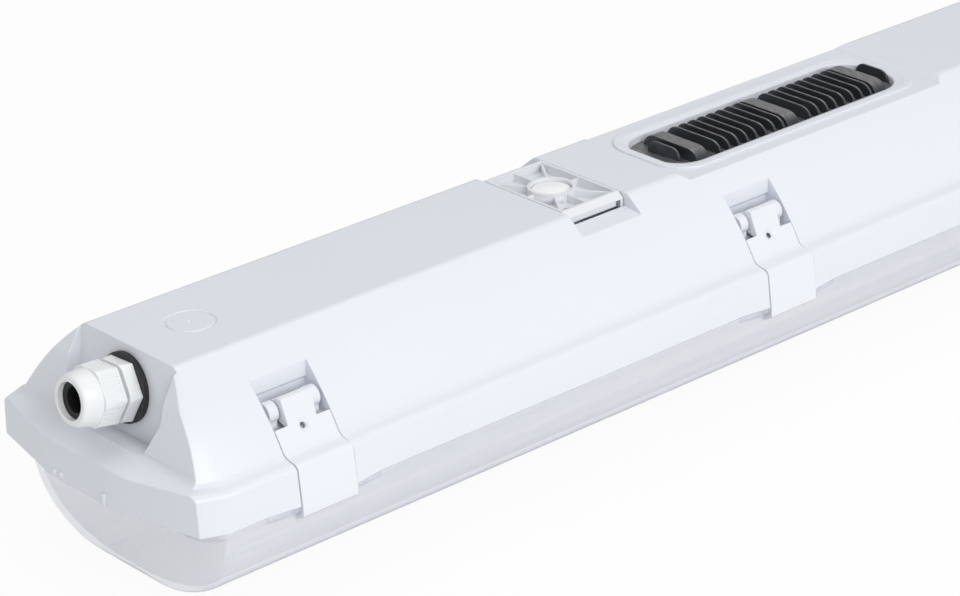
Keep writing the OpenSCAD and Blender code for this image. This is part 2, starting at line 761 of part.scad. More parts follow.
module latch_body() difference() {
    union() {
        along_x(latch_w) latch_outline();
        tab();
        translate([-tab_w/2, pin_y, -pin_drop]) rotate([0, 90, 0]) cylinder(h = tab_w, r = barrel_r);
    }
    translate([-latch_w, pin_y, -pin_drop]) rotate([0, 90, 0])
        cylinder(h = 2*latch_w, d = pin_d + 2*pin_play);
    hole_normal = atan2(side_y(latch_hole_drop) - arc_c[0], -latch_hole_drop - arc_c[1]);
    translate([0, side_y(latch_hole_drop), -latch_hole_drop]) rotate([-hole_normal, 0, 0]) {
        translate([0, 0, -2*latch_t]) cylinder(h = 3*latch_t, d = latch_hole_d);
        translate([0, 0, -latch_t/2])
            cylinder(h = latch_t, d1 = latch_hole_d, d2 = 2*latch_sink_d - latch_hole_d);
    }
}
module latch(i, side) color([0.9, 0.91, 0.93]) at_latch(i, side) latch_body();

module latch_pins() color([0.75, 0.76, 0.78]) at_latches() {
    l = tab_w + 2*ear_gap + 2*ear_w - ear_gap;
    translate([-l/2, pin_y, -pin_drop]) rotate([0, 90, 0]) cylinder(h = l, d = pin_d);
}

module ceiling_bracket(i) color([0.83, 0.84, 0.86]) at_bracket(i) bracket_body();
module bracket_body() {
    l = bracket_l;
    w = bracket_w;
    difference() {
        union() {
            translate([-l/2, -w/2, -bracket_h]) cube([l, w, bracket_h]);
            translate([0, 0, -bracket_h]) cylinder(h = bracket_h, d = ring_d);
        }
        difference() {
            translate([-l/2 + bracket_rim, -w/2 + bracket_rim, -bracket_h + bracket_floor])
                cube([l - 2*bracket_rim, w - 2*bracket_rim, bracket_h]);
            translate([0, 0, -bracket_h]) cylinder(h = bracket_h + cut, d = ring_d);
            bracket_ribs();
        }
        translate([0, 0, -bracket_h + bracket_floor]) cylinder(h = bracket_h, d = ring_bore);
        for (sy = [-1, 1]) translate([-bracket_screw_x, sy*bracket_screw_y, -bracket_h - cut])
            cylinder(h = 2*cut, d = screw_hole_d);
    }
    for (m = [0, 1]) mirror([0, m, 0]) bracket_lip();
}
module bracket_ribs() {
    reach = norm([bracket_l, bracket_w])/2;
    top = bracket_h - bracket_rib_drop;
    intersection() {
        translate([-bracket_l/2, -bracket_w/2, -bracket_h]) cube([bracket_l, bracket_w, top]);
        for (a = [0, 90, atan2(bracket_w, bracket_l), -atan2(bracket_w, bracket_l)])
            rotate([0, 0, a]) translate([-reach, -bracket_rib/2, -bracket_h])
                cube([2*reach, bracket_rib, top]);
    }
}
// Sloped lip with a wall under it, open beside the leg at its inner end
module bracket_lip() {
    l = bracket_l;
    wall_y = lip_out_y - lip_wall_in;
    wall_l = l - lip_leg_w - lip_slot_w;
    low = lip_fall + lip_edge;
    along_x(l) polygon([[lip_in_y, 0], [bracket_w/2, 0], [lip_out_y, -lip_fall],
                        [lip_out_y, -low], [lip_in_y, -low]]);
    translate([(wall_l - l)/2, 0, 0]) along_x(wall_l)
        polygon([[lip_in_y, -lip_fall], [wall_y, -lip_fall],
                 [wall_y, -bracket_h], [lip_in_y, -bracket_h]]);
    translate([(l - lip_leg_w)/2, 0, 0]) along_x(lip_leg_w)
        polygon([[lip_in_y, -lip_fall], [lip_out_y, -lip_fall],
                 [lip_out_y, -lip_leg_drop], [lip_in_y, -lip_leg_drop]]);
}
module bracket_plug(i) color([0.96, 0.96, 0.97]) at_bracket(i) {
    r = ring_bore/2 - plug_play;
    rise = plug_edge_drop - plug_top_drop;
    dome_r = (r*r + rise*rise)/(2*rise);
    steps = 8;
    dome = [for (k = [0:steps]) let (a = asin(r/dome_r)*(1 - k/steps))
        [dome_r*sin(a), dome_r*cos(a) - dome_r - plug_top_drop]];
    low = -bracket_h + bracket_floor;
    rotate_extrude() polygon(concat([[0, low], [r, low]], dome));
}

module heatsink() color([0.27, 0.28, 0.3]) {
    difference() {
        at_sink() {
            p = fin_root_play;
            plate(2*seal_x_half, 2*seal_y_half, slot_r, -sink_base_low, -sink_base_top);
            plate(slot_l - 2*p, slot_w - 2*p, slot_r - p, -sink_base_top - wall/2, -sink_roof + wall/2);
        }
        at_sink_screws(-sink_base_low - cut) cylinder(h = sink_flange_t + 2*cut, d = sink_hole_d);
        at_driver_screws(-sink_base_low - cut) cylinder(h = cut + wall, d = sink_shank_d + screw_bite_d/2);
    }
    translate([sink_x + bar_shift, 0, 0]) {
        for (b = [-1:1]) translate([b*bar_pitch, 0, 0]) fin(bar_t, fin_half, fin_round);
        for (b = [-1, 0]) for (k = [0:fin_count - 1])
            translate([b*bar_pitch + fin_first + k*fin_pitch, 0, 0]) fin(fin_t, fin_half, fin_round);
        translate([-bar_pitch - end_fin_in, 0, 0]) fin(fin_t, end_fin_half, end_fin_round);
        translate([bar_pitch + end_fin_out, 0, 0]) fin(fin_t, end_fin_half, end_fin_round);
    }
}
module fin(t, half, r) {
    low = sink_base_top - wall/2;
    p = [[half, -low], [half, -fin_top_drop], [-half, -fin_top_drop], [-half, -low]];
    along_x(t) polygon(rounded(p, [0, r, r, 0]));
}
module heatsink_gasket() color([0.2, 0.2, 0.21]) difference() {
    at_sink() plate(2*seal_x_half, 2*seal_y_half, slot_r, -sink_base_top, -sink_roof);
    at_sink() plate(slot_l, slot_w, slot_r, -sink_base_top - cut, 0);
    at_sink_screws(-sink_base_top - cut) cylinder(h = 3*cut, d = sink_hole_d);
}
module screw_up(d, l) {
    cylinder(h = l, d = d);
    translate([0, 0, -screw_head_h]) cylinder(h = screw_head_h, d = screw_head_d);
}
module heatsink_screws() color([0.7, 0.71, 0.73])
    at_sink_screws(-sink_base_low) screw_up(sink_shank_d - screw_bite_d/2, sink_screw_l);
module thermal_pad() color([0.6, 0.66, 0.75])
    at_sink() plate(pad_l, pad_w, pad_t, -driver_top, -sink_base_low);

module led_driver() color([0.86, 0.87, 0.88]) {
    low = driver_top + driver_h;
    at_sink() along_x(driver_l - 2*driver_tab_l) polygon(rounded(
        [[driver_w/2, -driver_top], [driver_w/2, -low], [-driver_w/2, -low], [-driver_w/2, -driver_top]],
        [0, driver_bevel, driver_bevel, 0]));
    difference() {
        at_sink() translate([-driver_l/2, -driver_w/2, -driver_top - driver_tab_t])
            cube([driver_l, driver_w, driver_tab_t]);
        at_driver_screws(-driver_top - cut) cylinder(h = 2*cut, d = sink_hole_d);
    }
}
module driver_screws() color([0.7, 0.71, 0.73])
    at_driver_screws(-driver_top - driver_tab_t)
        screw_up(sink_shank_d - screw_bite_d/2, driver_tab_t + pad_t + wall/2);

module gear_tray() color([0.95, 0.96, 0.97]) difference() {
    translate([0, 0, -tray_drop - sheet]) {
        translate([-tray_l/2, -tray_w/2, 0]) cube([tray_l, tray_w, sheet]);
        for (s = [-1, 1]) {
            translate([-tray_l/2, s*(tray_w - sheet)/2 - sheet/2, 0]) cube([tray_l, sheet, tray_edge_h]);
            translate([s*(tray_l - sheet)/2 - sheet/2, -tray_w/2, 0]) cube([sheet, tray_w, tray_edge_h]);
        }
    }
    at_tray_screws(-tray_drop - cut) cylinder(h = 2*cut, d = tray_shank_d + screw_bite_d);
    for (s = [-1, 1])
        translate([lead_x(), s*lead_y, -tray_drop - cut]) cylinder(h = 2*cut, d = 2*wire_d);
}
module tray_screws() color([0.7, 0.71, 0.73])
    at_tray_screws(-tray_drop - sheet) screw_up(tray_shank_d - screw_bite_d/2, tray_screw_l - wall);

function board_x(k) = (k - (board_count - 1)/2)*(board_l + board_gap);
module led_boards() color([0.96, 0.97, 0.98])
    for (s = [-1, 1]) for (k = [0:board_count - 1])
        translate([board_x(k) - board_l/2, s*board_y - board_w/2, -board_low])
            cube([board_l, board_w, board_t]);
module led_packages() color([0.95, 0.9, 0.55])
    for (s = [-1, 1]) for (k = [0:board_count - 1]) for (j = [0:led_count - 1])
        let (x = board_x(k) + (j - (led_count - 1)/2)*board_l/led_count)
            translate([x - led_l/2, s*board_y - led_w/2, -board_low - led_h]) cube([led_l, led_w, led_h]);
function lead_x() = sink_x + driver_l/2 - driver_tab_l + lead_run;
module board_connectors() color([0.93, 0.93, 0.92])
    for (s = [-1, 1])
        translate([lead_x() - connector_l/2, s*connector_y - connector_w/2, -board_low - connector_h])
            cube([connector_l, connector_w, connector_h]);

module terminal_block() color([0.92, 0.92, 0.9]) difference() {
    translate([block_x - block_l/2, -block_w/2, -tray_drop]) cube([block_l, block_w, block_h]);
    for (k = [0:block_poles - 1]) translate([block_x, (k - (block_poles - 1)/2)*block_w/block_poles, 0]) {
        for (s = [-1, 1])
            translate([s*block_l/4, 0, -tray_drop + block_h/2])
                cylinder(h = block_h, d = 1.15*block_hole_d);
        translate([-block_l/2 - cut, 0, -tray_drop + block_h/3]) rotate([0, 90, 0])
            cylinder(h = block_l/4 + cut, d = block_hole_d);
    }
}
module earth_tag() color([0.8, 0.7, 0.35])
    translate([block_x + block_l/2 + tag_l/2, block_w/2, -tray_drop]) {
        cube([tag_l, tag_w, tag_t]);
        cube([tag_t, tag_w, tag_l/2]);
    }

// A quarter bend from the +X direction down to -Z, centred below its start
module bend_down()
    rotate([90, 0, 0]) rotate_extrude(angle = 90) translate([wire_bend, 0]) circle(d = wire_d);
module wire_run(x, y, l) translate([x, y, -wire_drop]) rotate([0, 90, 0]) cylinder(h = l, d = wire_d);
module inner_wires() color([0.25, 0.35, 0.6]) {
    start = block_x + block_l/2;
    stop = sink_x - driver_l/2 + driver_tab_l;
    bend_z = -wire_drop - wire_bend;
    for (s = [-1, 1]) {
        wire_run(start, s*wire_y, stop - start);
        wire_run(sink_x + driver_l/2 - driver_tab_l, s*lead_y, lead_run - wire_bend);
        translate([lead_x() - wire_bend, s*lead_y, bend_z]) bend_down();
        translate([lead_x(), s*lead_y, -board_low]) cylinder(h = board_low + bend_z, d = wire_d);
    }
}

// Gland, in its own frame: z goes out of the wall
module hex_prism(af, z0, z1)
    rotate([0, 0, 90 + hex_turn]) translate([0, 0, z0]) cylinder(h = z1 - z0, d = af/cos(30), $fn = 6);
module gland_washer() color([0.06, 0.06, 0.07]) at_gland() difference() {
    cylinder(h = washer_t, d = washer_d);
    translate([0, 0, -cut]) cylinder(h = 3*cut, d = thread_d + 2*nut_play);
}
module gland_body() color([0.86, 0.87, 0.88]) at_gland() difference() {
    union() {
        translate([0, 0, washer_t]) intersection() {
            hex_prism(hex_af, 0, hex_t);
            cylinder(h = hex_t, d1 = hex_af*1.16, d2 = hex_af*1.08);
        }
        back = gland_face + thread_in_l;
        translate([0, 0, -back]) cylinder(h = back + washer_t, d = thread_d);
        cylinder(h = nut_hex_end - wall, d = neck_d);
    }
    translate([0, 0, -end_block_l/2]) cylinder(h = end_block_l, d = thread_inner_d);
    translate([0, 0, washer_t + hex_t/2]) cylinder(h = end_block_l, d = seal_d + 2*nut_play);
}
module gland_seal() color([0.05, 0.05, 0.06]) at_gland() difference() {
    foot = washer_t + hex_t/2;
    translate([0, 0, foot]) cylinder(h = gland_l - wall - foot - 2*nut_play, d = seal_d);
    cylinder(h = end_block_l, d = seal_bore_d);
}
module gland_nut() color([0.88, 0.89, 0.9]) at_gland() difference() {
    hex_h = nut_hex_end - nut_start;
    union() {
        intersection() {
            hex_prism(nut_af, nut_start, nut_hex_end);
            translate([0, 0, nut_start]) cylinder(h = hex_h, d1 = 1.13*nut_af, d2 = 1.08*nut_af);
        }
        tip = mouth_d/2 + tip_wall;
        swell = 0.49*nut_af - tip;
        rotate_extrude() polygon(concat(
            [[0, nut_start], [tip + swell, nut_start], [tip + swell, nut_hex_end]],
            [for (k = [1:arc_steps]) let (a = 90*k/arc_steps)
                [tip + swell*cos(a), nut_hex_end + dome_h*sin(a)]],
            [[0, gland_l]]));
    }
    translate([0, 0, nut_start - cut])
        cylinder(h = hex_h + cut - wall + nut_play, d = neck_d + 2*nut_play);
    translate([0, 0, nut_start]) cylinder(h = gland_l - nut_start - wall, d = seal_d + 2*nut_play);
    translate([0, 0, nut_start]) cylinder(h = end_block_l, d = mouth_d);
    rib_pitch = nut_af/cos(30)/2/rib_count;
    for (f = [0:5]) rotate([0, 0, f*60 + hex_turn]) for (k = [0:rib_count - 1])
        translate([nut_af/2 - rib_depth, (k - (rib_count - 1)/2)*rib_pitch - rib_w/2, nut_start + wall/2])
            cube([cut, rib_w, hex_h - wall/2 - rib_w]);
}
module gland_locknut() color([0.86, 0.87, 0.88]) at_gland() difference() {
    hex_prism(locknut_af, -gland_face - locknut_t, -gland_face);
    translate([0, 0, -end_block_l]) cylinder(h = 2*end_block_l, d = thread_d + 2*nut_play);
}

housing();
housing_gasket();
diffuser();
gear_tray();
tray_screws();
led_boards();
led_packages();
board_connectors();
led_driver();
driver_screws();
terminal_block();
earth_tag();
inner_wires();
heatsink();
heatsink_gasket();
heatsink_screws();
thermal_pad();
ceiling_bracket(1);  // ceiling_bracket_1
ceiling_bracket(2);  // ceiling_bracket_2
bracket_plug(1);  // bracket_plug_1
bracket_plug(2);  // bracket_plug_2
gland_washer();
gland_body();
gland_seal();
gland_nut();
gland_locknut();
latch_pins();
latch(0, -1);  // latch_near_1
latch(1, -1);  // latch_near_2
latch(2, -1);  // latch_near_3
latch(3, -1);  // latch_near_4
latch(4, -1);  // latch_near_5
latch(0, 1);  // latch_far_1
latch(1, 1);  // latch_far_2
latch(2, 1);  // latch_far_3
latch(3, 1);  // latch_far_4
latch(4, 1);  // latch_far_5
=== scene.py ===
"""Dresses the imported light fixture: materials, rounded and detailed pieces, studio and camera.

Sizes whose names stand in capitals are in millimetres and repeat the places of the solids, unless a
comment says otherwise. Places of the camera and the lamps are in metres.
"""

import json
import math

import bmesh
import bpy
from mathutils import Matrix, Vector


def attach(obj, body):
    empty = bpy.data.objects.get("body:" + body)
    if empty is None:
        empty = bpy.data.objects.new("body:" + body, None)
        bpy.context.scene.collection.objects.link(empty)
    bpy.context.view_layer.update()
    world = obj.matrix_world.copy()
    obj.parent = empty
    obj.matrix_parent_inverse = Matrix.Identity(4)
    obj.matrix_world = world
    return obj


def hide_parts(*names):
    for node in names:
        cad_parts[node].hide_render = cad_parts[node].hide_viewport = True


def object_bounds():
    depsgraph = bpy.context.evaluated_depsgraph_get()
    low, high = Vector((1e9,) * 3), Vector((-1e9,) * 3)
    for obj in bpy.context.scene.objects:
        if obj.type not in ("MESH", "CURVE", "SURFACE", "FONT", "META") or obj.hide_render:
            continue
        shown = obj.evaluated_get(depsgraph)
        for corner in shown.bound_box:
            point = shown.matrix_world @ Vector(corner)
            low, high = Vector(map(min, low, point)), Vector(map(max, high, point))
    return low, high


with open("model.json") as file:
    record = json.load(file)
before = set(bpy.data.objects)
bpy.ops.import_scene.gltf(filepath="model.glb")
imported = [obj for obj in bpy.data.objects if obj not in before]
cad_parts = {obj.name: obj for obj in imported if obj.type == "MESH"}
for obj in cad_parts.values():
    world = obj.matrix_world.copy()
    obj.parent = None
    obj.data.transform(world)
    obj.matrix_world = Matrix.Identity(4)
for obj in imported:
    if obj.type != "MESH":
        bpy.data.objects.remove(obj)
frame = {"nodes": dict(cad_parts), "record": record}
NODES = frame["nodes"]
CAD_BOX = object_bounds()
SLOTS = {part["node"]: part["material_slot"] for part in frame["record"]["subparts"]}
MM = 0.001


# Camera: its place, the directions of its picture's axes, and its lens for the sensor's width
CAMERA_EYE = (-1.306774, -1.053237, 0.594596)
CAMERA_RIGHT = (0.744711, -0.666865, -0.026413)
CAMERA_AHEAD = (0.59936, 0.685685, -0.413043)
CAMERA_LENS = 132.975
SENSOR_WIDTH = 36.0


def make_camera():
    data = bpy.data.cameras.new("camera")
    data.sensor_width = SENSOR_WIDTH
    data.sensor_fit = "HORIZONTAL"
    data.lens = CAMERA_LENS
    data.clip_start = 0.05
    data.clip_end = 50.0
    camera = bpy.data.objects.new("camera", data)
    bpy.context.scene.collection.objects.link(camera)
    right = Vector(CAMERA_RIGHT).normalized()
    back = -Vector(CAMERA_AHEAD).normalized()
    up = back.cross(right).normalized()
    right = up.cross(back).normalized()
    turn = Matrix((right, up, back)).transposed().to_4x4()
    camera.matrix_world = Matrix.Translation(CAMERA_EYE) @ turn
    bpy.context.scene.camera = camera


# Materials
class Tree:
    """A material's node tree with short calls for nodes and links."""

    def __init__(self, name):
        self.material = bpy.data.materials.new(name)
        self.material.use_nodes = True
        self.nodes = self.material.node_tree.nodes
        self.links = self.material.node_tree.links
        self.nodes.clear()
        self.out = self.nodes.new("ShaderNodeOutputMaterial")
        self.shader = self.nodes.new("ShaderNodeBsdfPrincipled")
        self.links.new(self.shader.outputs["BSDF"], self.out.inputs["Surface"])

    def new(self, kind, **values):
        node = self.nodes.new(kind)
        for key, value in values.items():
            setattr(node, key, value)
        return node

    def set(self, **values):
        for key, value in values.items():
            self.shader.inputs[key.replace("_", " ")].default_value = value

    def noise(self, scale, detail=4.0, rough=0.5, stretch=(1.0, 1.0, 1.0)):
        place = self.new("ShaderNodeTexCoord")
        mapping = self.new("ShaderNodeMapping")
        mapping.inputs["Scale"].default_value = stretch
        texture = self.new("ShaderNodeTexNoise")
        texture.inputs["Scale"].default_value = scale
        texture.inputs["Detail"].default_value = detail
        texture.inputs["Roughness"].default_value = rough
        self.links.new(place.outputs["Object"], mapping.inputs["Vector"])
        self.links.new(mapping.outputs["Vector"], texture.inputs["Vector"])
        return texture.outputs["Fac"]

    def ramp(self, fac, stops):
        """Colours along a value, given as stops of a place and a colour."""
        ramp = self.new("ShaderNodeValToRGB")
        elements = ramp.color_ramp.elements
        while len(elements) < len(stops):
            elements.new(0.5)
        for element, (place, colour) in zip(elements, stops):
            element.position = place
            element.color = (*colour, 1.0)
        self.links.new(fac, ramp.inputs["Fac"])
        return ramp.outputs["Color"]

    def span(self, fac, low, high):
        """A value between 0 and 1 spread over the range from low to high."""
        spread = self.new("ShaderNodeMapRange")
        spread.inputs["To Min"].default_value = low
        spread.inputs["To Max"].default_value = high
        self.links.new(fac, spread.inputs["Value"])
        return spread.outputs["Result"]

    def colour(self, socket):
        self.links.new(socket, self.shader.inputs["Base Color"])

    def roughness(self, socket):
        self.links.new(socket, self.shader.inputs["Roughness"])

    def bump(self, socket, strength, distance):
        bump = self.new("ShaderNodeBump")
        bump.inputs["Strength"].default_value = strength
        bump.inputs["Distance"].default_value = distance
        self.links.new(socket, bump.inputs["Height"])
        self.links.new(bump.outputs["Normal"], self.shader.inputs["Normal"])


def shade(colour, share):
    return tuple(c * share for c in colour)


# Name, colour, roughness, and where given the share by which the colour drifts
MOULDED = (
    ("housing_plastic", (0.775, 0.805, 0.86), 0.24),
    ("latch_plastic", (0.80, 0.825, 0.87), 0.24),
    ("bracket_plastic", (0.78, 0.80, 0.83), 0.3),
    ("plug_plastic", (0.95, 0.96, 0.97), 0.2),
    ("gland_plastic", (0.85, 0.87, 0.88), 0.3),
    ("ivory_plastic", (0.80, 0.79, 0.72), 0.4),
    ("board_white", (0.86, 0.87, 0.86), 0.35),
    ("wire_sleeve", (0.08, 0.16, 0.5), 0.35, 0.06),
    ("pad_blue", (0.35, 0.45, 0.6), 0.6, 0.05),
    ("led_phosphor", (0.86, 0.74, 0.28), 0.4, 0.04),
    ("white_sheet", (0.86, 0.87, 0.87), 0.25, 0.01),
)

# Name, colour and metallic share
METALS = (
    ("zinc_steel", (0.62, 0.62, 0.64), 1.0),
    ("brass_tag", (0.75, 0.6, 0.3), 1.0),
    ("driver_case", (0.70, 0.71, 0.73), 0.0),
)


def moulded(name, colour, rough, vary=0.006):
    """Moulded plastic: a faint drift of colour and gloss, and the fine grain of the mould."""
    t = Tree(name)
    drift = t.noise(9.0, 3.0)
    t.colour(t.ramp(drift, ((0.3, shade(colour, 1 - vary)), (0.7, shade(colour, 1 + vary)))))
    t.roughness(t.span(t.noise(35.0, 5.0), rough - 0.05, rough + 0.07))
    t.bump(t.noise(1400.0, 2.0), strength=0.25, distance=0.00001)
    t.set(IOR=1.49)
    return t.material


def brushed(name, colour, metallic):
    """Bare or coated metal with faint brush lines."""
    t = Tree(name)
    t.set(Metallic=metallic)
    t.colour(t.ramp(t.noise(70.0, 4.0), ((0.3, shade(colour, 0.93)), (0.7, shade(colour, 1.05)))))
    t.roughness(t.span(t.noise(300.0, 4.0, stretch=(1.0, 12.0, 1.0)), 0.28, 0.46))
    return t.material


def black_rubber():
    t = Tree("black_rubber")
    t.colour(t.ramp(t.noise(60.0, 4.0), ((0.3, (0.012, 0.012, 0.013)), (0.7, (0.022, 0.022, 0.024)))))
    t.roughness(t.span(t.noise(120.0, 3.0), 0.45, 0.62))
    t.bump(t.noise(2200.0, 2.0), strength=0.3, distance=0.00003)
    return t.material


def foam_seal():
    t = Tree("foam_seal")
    t.colour(t.ramp(t.noise(80.0, 4.0), ((0.3, (0.52, 0.52, 0.54)), (0.7, (0.64, 0.64, 0.66)))))
    t.set(Roughness=0.9)
    t.bump(t.noise(1800.0, 3.0), strength=0.6, distance=0.0002)
    return t.material


def dark_casting():
    """Dark cast metal; the faces that look upward carry a paler grey with brush lines, painted light
    from above.
    """
    t = Tree("dark_casting")
    facing = t.new("ShaderNodeNewGeometry")
    split = t.new("ShaderNodeSeparateXYZ")
    t.links.new(facing.outputs["Normal"], split.inputs["Vector"])
    # The share of painted light grows as a face turns to look upward.
    top_light_share = t.new("ShaderNodeMapRange")
    top_light_share.inputs["From Min"].default_value = 0.6
    top_light_share.inputs["From Max"].default_value = 0.95
    t.links.new(split.outputs["Z"], top_light_share.inputs["Value"])
    cast = t.ramp(t.noise(120.0, 5.0), ((0.3, (0.060, 0.063, 0.075)), (0.75, (0.095, 0.098, 0.112))))
    lines = t.noise(260.0, 5.0, stretch=(6.0, 1.0, 1.0))
    # A painted highlight: faces that look upward get a paler grey for the light from above, with
    # brush lines in it.
    painted_top_light = t.ramp(lines, ((0.35, (0.15, 0.152, 0.158)), (0.65, (0.30, 0.302, 0.31))))
    blend = t.new("ShaderNodeMix", data_type="RGBA")
    t.links.new(top_light_share.outputs["Result"], blend.inputs[0])
    t.links.new(cast, blend.inputs[6])
    t.links.new(painted_top_light, blend.inputs[7])
    t.colour(blend.outputs[2])
    t.set(Metallic=0.6)
    t.roughness(t.span(t.noise(300.0, 4.0), 0.3, 0.45))
    t.bump(t.noise(1500.0, 3.0), strength=0.5, distance=0.00006)
    return t.material


def clear_plastic():
    """Clear plastic with faint milky lines along the trough."""
    t = Tree("clear_plastic")
    lines = t.noise(42.0, 5.0, 0.6, stretch=(0.12, 7.0, 7.0))
    stops = ((0.38, (0.76, 0.80, 0.95)), (0.52, (0.86, 0.89, 1.0)), (0.66, (0.95, 0.96, 1.0)))
    t.colour(t.ramp(lines, stops))
    t.roughness(t.span(t.noise(260.0, 4.0), 0.08, 0.2))
    t.bump(lines, strength=0.35, distance=0.0004)
    t.set(IOR=1.45, Transmission_Weight=0.3, Alpha=0.25)
    return t.material


def make_materials():
    made = {row[0]: moulded(*row) for row in MOULDED}
    made.update({row[0]: brushed(*row) for row in METALS})
    made["black_rubber"] = black_rubber()
    made["foam_seal"] = foam_seal()
    made["dark_casting"] = dark_casting()
    made["clear_plastic"] = clear_plastic()
    return made


# Meshes: points nearer than the weld distance, in metres, are one; angles are in degrees
WELD = 2e-6
FLAT_ANGLE = 0.3
SHARP_ANGLE = 25.0


def rounded_copy(node, name, width, segments=2, keep=None, shape=None):
    """A node's shape with its sharp outer edges rounded by a width in millimetres."""
    bm = bmesh.new()
    bm.from_mesh(NODES[node].data)
    bmesh.ops.remove_doubles(bm, verts=bm.verts, dist=WELD)
    bmesh.ops.dissolve_limit(bm, angle_limit=math.radians(FLAT_ANGLE), use_dissolve_boundaries=False,
                             verts=bm.verts[:], edges=bm.edges[:])
    if shape:
        shape(bm)
    limit = math.radians(SHARP_ANGLE)
    edges = [e for e in bm.edges if len(e.link_faces) == 2 and e.is_convex
             and e.calc_face_angle(0) > limit and (keep is None or keep(e))]
    bmesh.ops.bevel(bm, geom=edges, offset=width * MM, offset_type="OFFSET", segments=segments,
                    profile=0.5, affect="EDGES", clamp_overlap=False, harden_normals=False)
    return finish_piece(name, bm)


def finish_piece(name, bm, angle=40.0):
    """Turns a mesh into a smoothly shaded object; edges beyond the angle stay sharp."""
    mesh = bpy.data.meshes.new(name)
    bm.to_mesh(mesh)
    bm.free()
    piece = bpy.data.objects.new(name, mesh)
    bpy.context.scene.collection.objects.link(piece)
    for face in mesh.polygons:
        face.use_smooth = True
    mesh.set_sharp_from_angle(angle=math.radians(angle))
    modifier = piece.modifiers.new("flats", "WEIGHTED_NORMAL")
    modifier.keep_sharp = True
    return piece


def finish_rings(name, bm, angle=40.0):
    """Turns the faces of a mesh made of rings outward and makes a piece of it."""
    bmesh.ops.recalc_face_normals(bm, faces=bm.faces[:])
    return finish_piece(name, bm, angle)


def dress(piece, body, slot, *nodes):
    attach(piece, body)
    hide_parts(*nodes)
    piece.data.materials.clear()
    piece.data.materials.append(MATERIALS[slot])


def loft(bm, rings, caps=True):
    """Joins closed rings of points, given in millimetres, by quads."""
    rows = [[bm.verts.new(Vector(p) * MM) for p in ring] for ring in rings]
    count = len(rows[0])
    for low, high in zip(rows, rows[1:]):
        for i in range(count):
            j = (i + 1) % count
            bm.faces.new((low[i], low[j], high[j], high[i]))
    if caps:
        bm.faces.new(list(reversed(rows[0])))
        bm.faces.new(rows[-1])


def plan_ring(half_l, half_w, r, z, steps=6):
    """A rounded rectangle seen from above."""
    r = min(r, half_w * 0.999, half_l * 0.999)
    ring = []
    for quarter, (sx, sy) in enumerate(((1, 1), (-1, 1), (-1, -1), (1, -1))):
        for i in range(steps + 1):
            a = math.radians(90.0 * (quarter + i / steps))
            ring.append((sx * (half_l - r) + r * math.cos(a), sy * (half_w - r) + r * math.sin(a), z))
    return ring


# Housing: the latch pins' bores and the sill under the gland
PIN_Y = 48.19
PIN_Z = -24.0
BORE_REACH = 2.2
SILL_X = 578.0
SILL_HALF_W = 34.0
SILL_LOW = -38.5
SILL_HIGH = -33.0


def away_from_bores(edge):
    """False for the edges of the small pin bores and of the gland's sill, which stay as they are."""
    middle = (edge.verts[0].co + edge.verts[1].co) / 2 / MM
    sill = abs(middle.x) > SILL_X and abs(middle.y) < SILL_HALF_W and SILL_LOW < middle.z < SILL_HIGH
    return math.hypot(abs(middle.y) - PIN_Y, middle.z - PIN_Z) > BORE_REACH and not sill


# Flares of the skirt's band beside the latches. The band leans out towards its foot, and a slope
# leads from the side of the housing over to it. A point that is nearer than TOUCH to a plane counts
# as on it, and MARGIN is added to a range whose end a point may lie on.
LATCH_X = (-531.0, -265.5, 0.0, 265.5, 531.0)
POCKET_HALF = 14.4
FLARE_RAMP = 14.5
FLARE_OUT = 2.2
FLARE_TOP_SHARE = 0.5
BAND_TOP = -39.0
BAND_LOW = -56.0
BAND_Y = 69.2
BAND_LEAN = 0.7
SLOPE_Y = 66.8
SLOPE_RUN = 2.4
SLOPE_LOW = -40.9
SLOPE_TOP = -38.2
CUT_Y = 64.0
CUT_Z = -38.0
TOUCH = 0.03
MARGIN = 0.05


def band_share(z):
    return (BAND_TOP - z) / (BAND_TOP - BAND_LOW)


def cut_band(bm, x):
    """Cuts the faces of the band at a place along the housing."""
    faces = []
    for face in bm.faces:
        middle = face.calc_center_median() / MM
        if abs(middle.y) > CUT_Y and middle.z < CUT_Z:
            faces.append(face)
    around = set(faces)
    for face in faces:
        around.update(face.verts)
        around.update(face.edges)
    bmesh.ops.bisect_plane(bm, geom=list(around), dist=1e-7, plane_co=(x * MM, 0.0, 0.0),
                           plane_no=(1.0, 0.0, 0.0))


def spread_band(bm):
    """Leads the band outward to the latch's face on both sides of every latch."""
    for x in LATCH_X:
        for s in (-1, 1):
            cut_band(bm, x + s * (POCKET_HALF + FLARE_RAMP))
    for vert in bm.verts:
        p = vert.co / MM
        y = abs(p.y)
        beside = min(abs(abs(p.x - x) - POCKET_HALF) for x in LATCH_X) < TOUCH
        on_band = y > BAND_Y + BAND_LEAN * band_share(p.z) - TOUCH
        on_slope = p.z > SLOPE_LOW and y > SLOPE_Y + MARGIN
        level = BAND_LOW - MARGIN < p.z < SLOPE_TOP
        if beside and level and (on_band or on_slope):
            share = FLARE_TOP_SHARE + (1.0 - FLARE_TOP_SHARE) * band_share(p.z)
            out = FLARE_OUT * share * min(1.0, (y - SLOPE_Y) / SLOPE_RUN)
            vert.co.y += math.copysign(out * MM, p.y)


